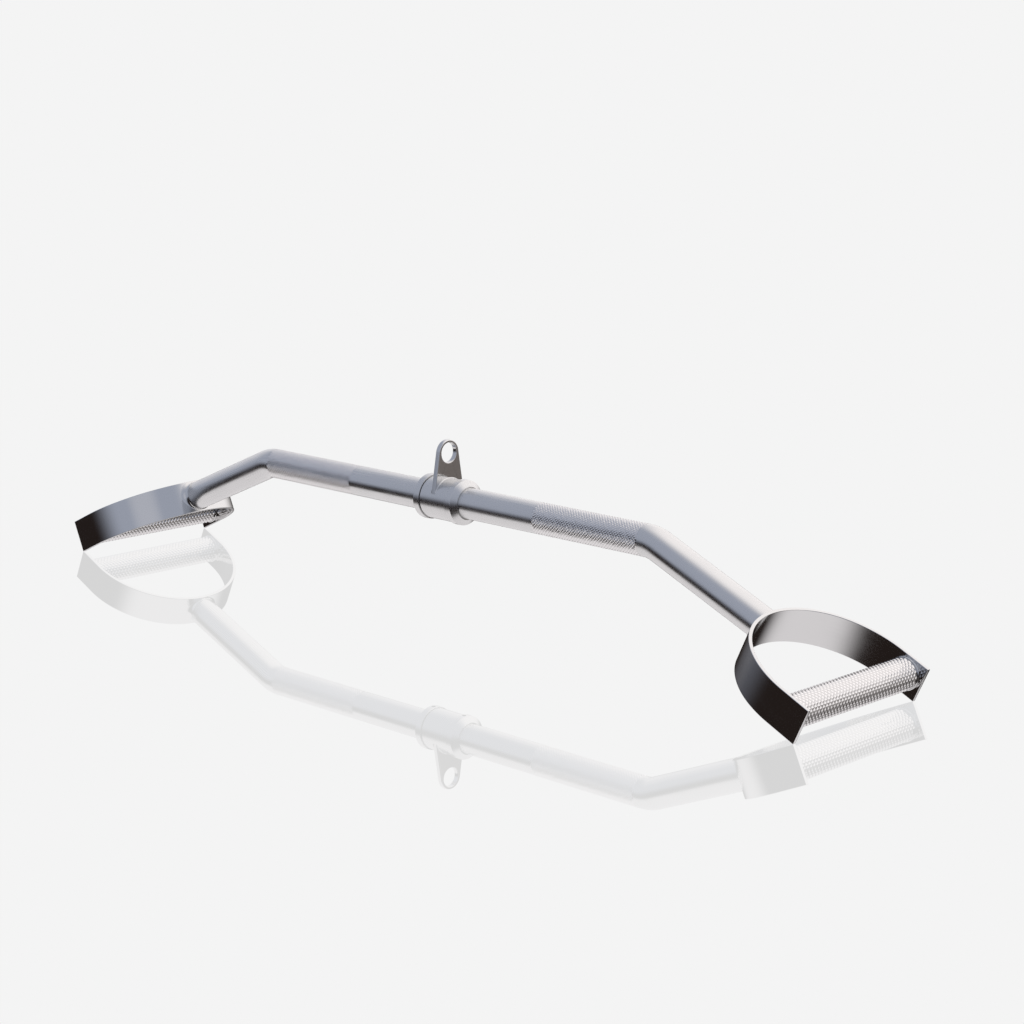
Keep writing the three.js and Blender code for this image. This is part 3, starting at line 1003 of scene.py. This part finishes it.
class SHOVEL_OT_eye_welds(bpy.types.Operator):
    """Draws the welds along the foot of the eye plate"""
    bl_idname = "shovel.eye_welds"
    bl_label = "Eye welds"

    def execute(self, context):
        sizes = context.scene.shovel_hanger
        root, face, steps = sizes.sleeve_radius, sizes.eye_thickness / 2, 48
        # the welds cover most of the plate's foot and run out over a short length at its ends
        covered, run_out, thinnest = 0.985, 14, 0.02
        spread = asin(sizes.eye_foot(root)[0] / root) * covered
        for side in both_ends():
            shell = Shell()
            rings = []
            for i in range(steps + 1):
                part = -cos(pi * i / steps)
                turn = part * spread
                bead = sizes.eye_bead * max(1 - abs(part) ** run_out, thinnest) ** 0.5
                ring = []
                for lift, r in fillet(root, bead):
                    x = face + lift
                    place = Vector((x, r * sin(turn), AXIS_HEIGHT + r * cos(turn)))
                    ring.append(shell.point(side.turned(place), (turn * root, x - r)))
                rings.append(ring)
            shell.capped(rings)
            shell.finish(side.name + "_eye_weld", "hanger", "weld")
        return {"FINISHED"}


# Studio

# Camera fitted to the photograph: focal length on a 36 mm sensor, place in metres, and how far it
# looks down and to the left of north in degrees.
FOCAL_LENGTH = 80.944
CAMERA_PLACE = (1.460697, -1.405201, 0.535209)
LOOKS_DOWN, TURNED_LEFT = 12.1886, 44.4703

# Soft lamps on the studio's wall: azimuth and elevation in degrees, the cosine at which each
# starts and is full, and its strength.
LAMPS = (
    (80, 55, 0.52, 0.98, 1.0), (132, 12, 0.75, 0.99, 0.5), (75, 0, 0.35, 0.62, 0.93),
    (170, 15, 0.88, 0.99, 0.32), (-55, 26, 0.90, 1.0, 0.17),
)
# A faint one below the horizon, which lights the undersides of the knurls.
LOW_LAMP = (18, -28, 0.90, 0.94, 0.30)
# Where light falls on the dark band.
LIT_PART = (45, 0, 0.85, 1.0, 1.0)

# Heights, as sines of the elevation, over which the wall turns into the ceiling, the dark band
# into the wall and all of it into the ground, and how much the ground's edge is tipped.
CEILING_EDGE, BAND_EDGE, GROUND_EDGE = (0.8, 1.1), (-0.2, 0.15), (-0.53, -0.66)
GROUND_TIP = 0.2

# The floor's mirror image fades out between these distances from the object's middle, in metres.
MIRROR_FADE = (1.0, 1.6)


def direction(azimuth, elevation):
    azimuth, elevation = radians(azimuth), radians(elevation)
    return (cos(azimuth) * cos(elevation), sin(azimuth) * cos(elevation), sin(elevation))


class SHOVEL_OT_stage(bpy.types.Operator):
    """Sets the pale floor, the studio that the metal mirrors, and the camera"""
    bl_idname = "shovel.stage"
    bl_label = "Stage"

    def execute(self, context):
        scene, look = context.scene, context.scene.shovel_finishes
        scene.view_settings.view_transform = "Standard"
        self.studio(scene, look)
        self.floor(scene, look)
        data = bpy.data.cameras.new("camera")
        data.sensor_width, data.lens = 36, FOCAL_LENGTH
        data.clip_start, data.clip_end = 0.05, 100
        camera = bpy.data.objects.new("camera", data)
        camera.location = CAMERA_PLACE
        camera.rotation_euler = (radians(90 - LOOKS_DOWN), 0, radians(TURNED_LEFT))
        scene.collection.objects.link(camera)
        scene.camera = camera
        return {"FINISHED"}

    def studio(self, scene, look):
        """The world that the metal mirrors: wall, lamps, dark band and ground."""
        world = bpy.data.worlds.new("studio")
        scene.world = world
        tree = empty_tree(world)
        # Seen in the floor, the metal mirrors the studio upside down, as the photograph shows.
        # Rays that come by way of the floor have passed its clear film.
        ray = add(tree, "ShaderNodeLightPath").outputs
        filmed = add(tree, "ShaderNodeMath", {0: ray["Transparent Depth"], 1: 0.5},
                     operation="GREATER_THAN").outputs[0]
        turn = add(tree, "ShaderNodeMath", {0: filmed, 1: -2.0, 2: 1.0},
                   operation="MULTIPLY_ADD").outputs[0]
        course = add(tree, "ShaderNodeVectorMath", {
            0: add(tree, "ShaderNodeTexCoord").outputs["Generated"],
            1: add(tree, "ShaderNodeCombineXYZ", {0: 1.0, 1: 1.0, 2: turn}).outputs[0]},
            operation="MULTIPLY").outputs[0]
        split = add(tree, "ShaderNodeSeparateXYZ", {0: course}).outputs
        height = split["Z"]

        def cover(under, over, value, low, high, strength=1.0):
            """Covers one colour with another where a value passes softly from low to high."""
            amount = add(tree, "ShaderNodeMapRange", {
                "Value": value, "From Min": low, "From Max": high, "To Max": strength},
                interpolation_type="SMOOTHSTEP").outputs["Result"]
            return add(tree, "ShaderNodeMix", {0: amount, 6: under, 7: over},
                       data_type="RGBA").outputs[2]

        def patch(under, over, azimuth, elevation, low, high, strength):
            """Covers one colour with another round a direction."""
            facing = add(tree, "ShaderNodeVectorMath", {
                0: course, 1: direction(azimuth, elevation)},
                operation="DOT_PRODUCT").outputs["Value"]
            return cover(under, over, facing, low, high, strength)

        wall = cover(look.sky, look.ceiling, height, *CEILING_EDGE)
        for lamp in LAMPS:
            wall = patch(wall, look.lamp, *lamp)
        band = patch(look.dusk, look.lit_dusk, *LIT_PART)
        upper = cover(band, wall, height, *BAND_EDGE)
        upper = patch(upper, look.lamp, *LOW_LAMP)
        # The ground's edge is tipped up towards the left.
        tipped = add(tree, "ShaderNodeMath", {0: split["X"], 1: GROUND_TIP, 2: height},
                     operation="MULTIPLY_ADD").outputs[0]
        whole = cover(upper, look.ground, tipped, *GROUND_EDGE)
        # The colours above are those seen in the plate, so its own is taken out of them.
        mirrored = add(tree, "ShaderNodeBackground", {
            "Color": whole, "Strength": 1 / look.chrome[0]}).outputs[0]
        seen = add(tree, "ShaderNodeBackground", {
            "Color": look.backdrop, "Strength": 1.0}).outputs[0]
        # The camera sees the backdrop, and so does the floor, the only perfectly sharp mirror.
        plain = add(tree, "ShaderNodeMath", {
            0: ray["Is Camera Ray"], 1: ray["Is Singular Ray"]}, operation="MAXIMUM").outputs[0]
        mix = add(tree, "ShaderNodeMixShader", {0: plain, 1: mirrored, 2: seen})
        add(tree, "ShaderNodeOutputWorld", {"Surface": mix.outputs[0]})

    def floor(self, scene, look):
        """A polished sheet with a clear film over it."""
        mesh = bpy.data.meshes.new("floor")
        size, film = 12.0, 0.02 * MM
        corners = [(-size, -size), (size, -size), (size, size), (-size, size)]
        mesh.from_pydata([(x, y, z) for z in (0, film) for x, y in corners],
                         [], [(0, 1, 2, 3), (4, 5, 6, 7)])
        sheet = bpy.data.objects.new("floor", mesh)
        scene.collection.objects.link(sheet)
        # the metal mirrors the studio's ground, not the sheet
        sheet.visible_glossy = sheet.visible_diffuse = False
        # White acrylic sheet, polished: evenly lit, with a faint mirror image that fades out away
        # from the object.
        acrylic = bpy.data.materials.new("White acrylic sheet")
        tree = empty_tree(acrylic)
        place = add(tree, "ShaderNodeTexCoord").outputs["Object"]
        away = add(tree, "ShaderNodeVectorMath", {0: place}, operation="LENGTH").outputs["Value"]
        amount = add(tree, "ShaderNodeMapRange", {
            "Value": away, "From Min": MIRROR_FADE[0], "From Max": MIRROR_FADE[1],
            "To Min": look.floor_mirror, "To Max": 0.0},
            interpolation_type="SMOOTHSTEP").outputs["Result"]
        glow = add(tree, "ShaderNodeEmission", {
            "Color": look.backdrop, "Strength": 1.0}).outputs[0]
        gloss = add(tree, "ShaderNodeBsdfGlossy", {
            "Color": (1, 1, 1, 1), "Roughness": 0.0}).outputs[0]
        mix = add(tree, "ShaderNodeMixShader", {0: amount, 1: glow, 2: gloss})
        add(tree, "ShaderNodeOutputMaterial", {"Surface": mix.outputs[0]})
        mesh.materials.append(acrylic)
        # Clear film over the sheet: it only marks the rays that reach the floor.
        clear = bpy.data.materials.new("Clear film")
        tree = empty_tree(clear)
        see_through = add(tree, "ShaderNodeBsdfTransparent").outputs[0]
        add(tree, "ShaderNodeOutputMaterial", {"Surface": see_through})
        mesh.materials.append(clear)
        mesh.polygons[1].material_index = 1


OPERATORS = (
    SHOVEL_OT_bar, SHOVEL_OT_straps, SHOVEL_OT_grips, SHOVEL_OT_grip_welds, SHOVEL_OT_leg_welds,
    SHOVEL_OT_collars, SHOVEL_OT_screws, SHOVEL_OT_sleeve, SHOVEL_OT_bushes, SHOVEL_OT_eye_plate,
    SHOVEL_OT_eye_welds, SHOVEL_OT_stage,
)
GROUPS = {
    "shovel_bar": BarSizes, "shovel_handle": HandleSizes, "shovel_hanger": HangerSizes,
    "shovel_finishes": Finishes,
}


class SHOVEL_PT_panel(bpy.types.Panel):
    """Sizes and colours of the handle, and a button for each of its pieces"""
    bl_idname = "SHOVEL_PT_panel"
    bl_label = "Shovel Handle"
    bl_space_type = "VIEW_3D"
    bl_region_type = "UI"
    bl_category = "Shovel Handle"

    def draw(self, context):
        for name, group in GROUPS.items():
            box = self.layout.box()
            box.label(text=group.__doc__)
            for key in group.__annotations__:
                box.prop(getattr(context.scene, name), key)
        for operator in OPERATORS:
            self.layout.operator(operator.bl_idname)


def register():
    for item in (*GROUPS.values(), *OPERATORS, SHOVEL_PT_panel):
        bpy.utils.register_class(item)
    for name, group in GROUPS.items():
        setattr(bpy.types.Scene, name, PointerProperty(type=group))


def unregister():
    for name in GROUPS:
        delattr(bpy.types.Scene, name)
    for item in reversed((*GROUPS.values(), *OPERATORS, SHOVEL_PT_panel)):
        bpy.utils.unregister_class(item)


def main():
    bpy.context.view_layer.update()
    register()
    for operator in OPERATORS:
        group, name = operator.bl_idname.split(".")
        getattr(getattr(bpy.ops, group), name)()


if __name__ == "__main__":
    main()
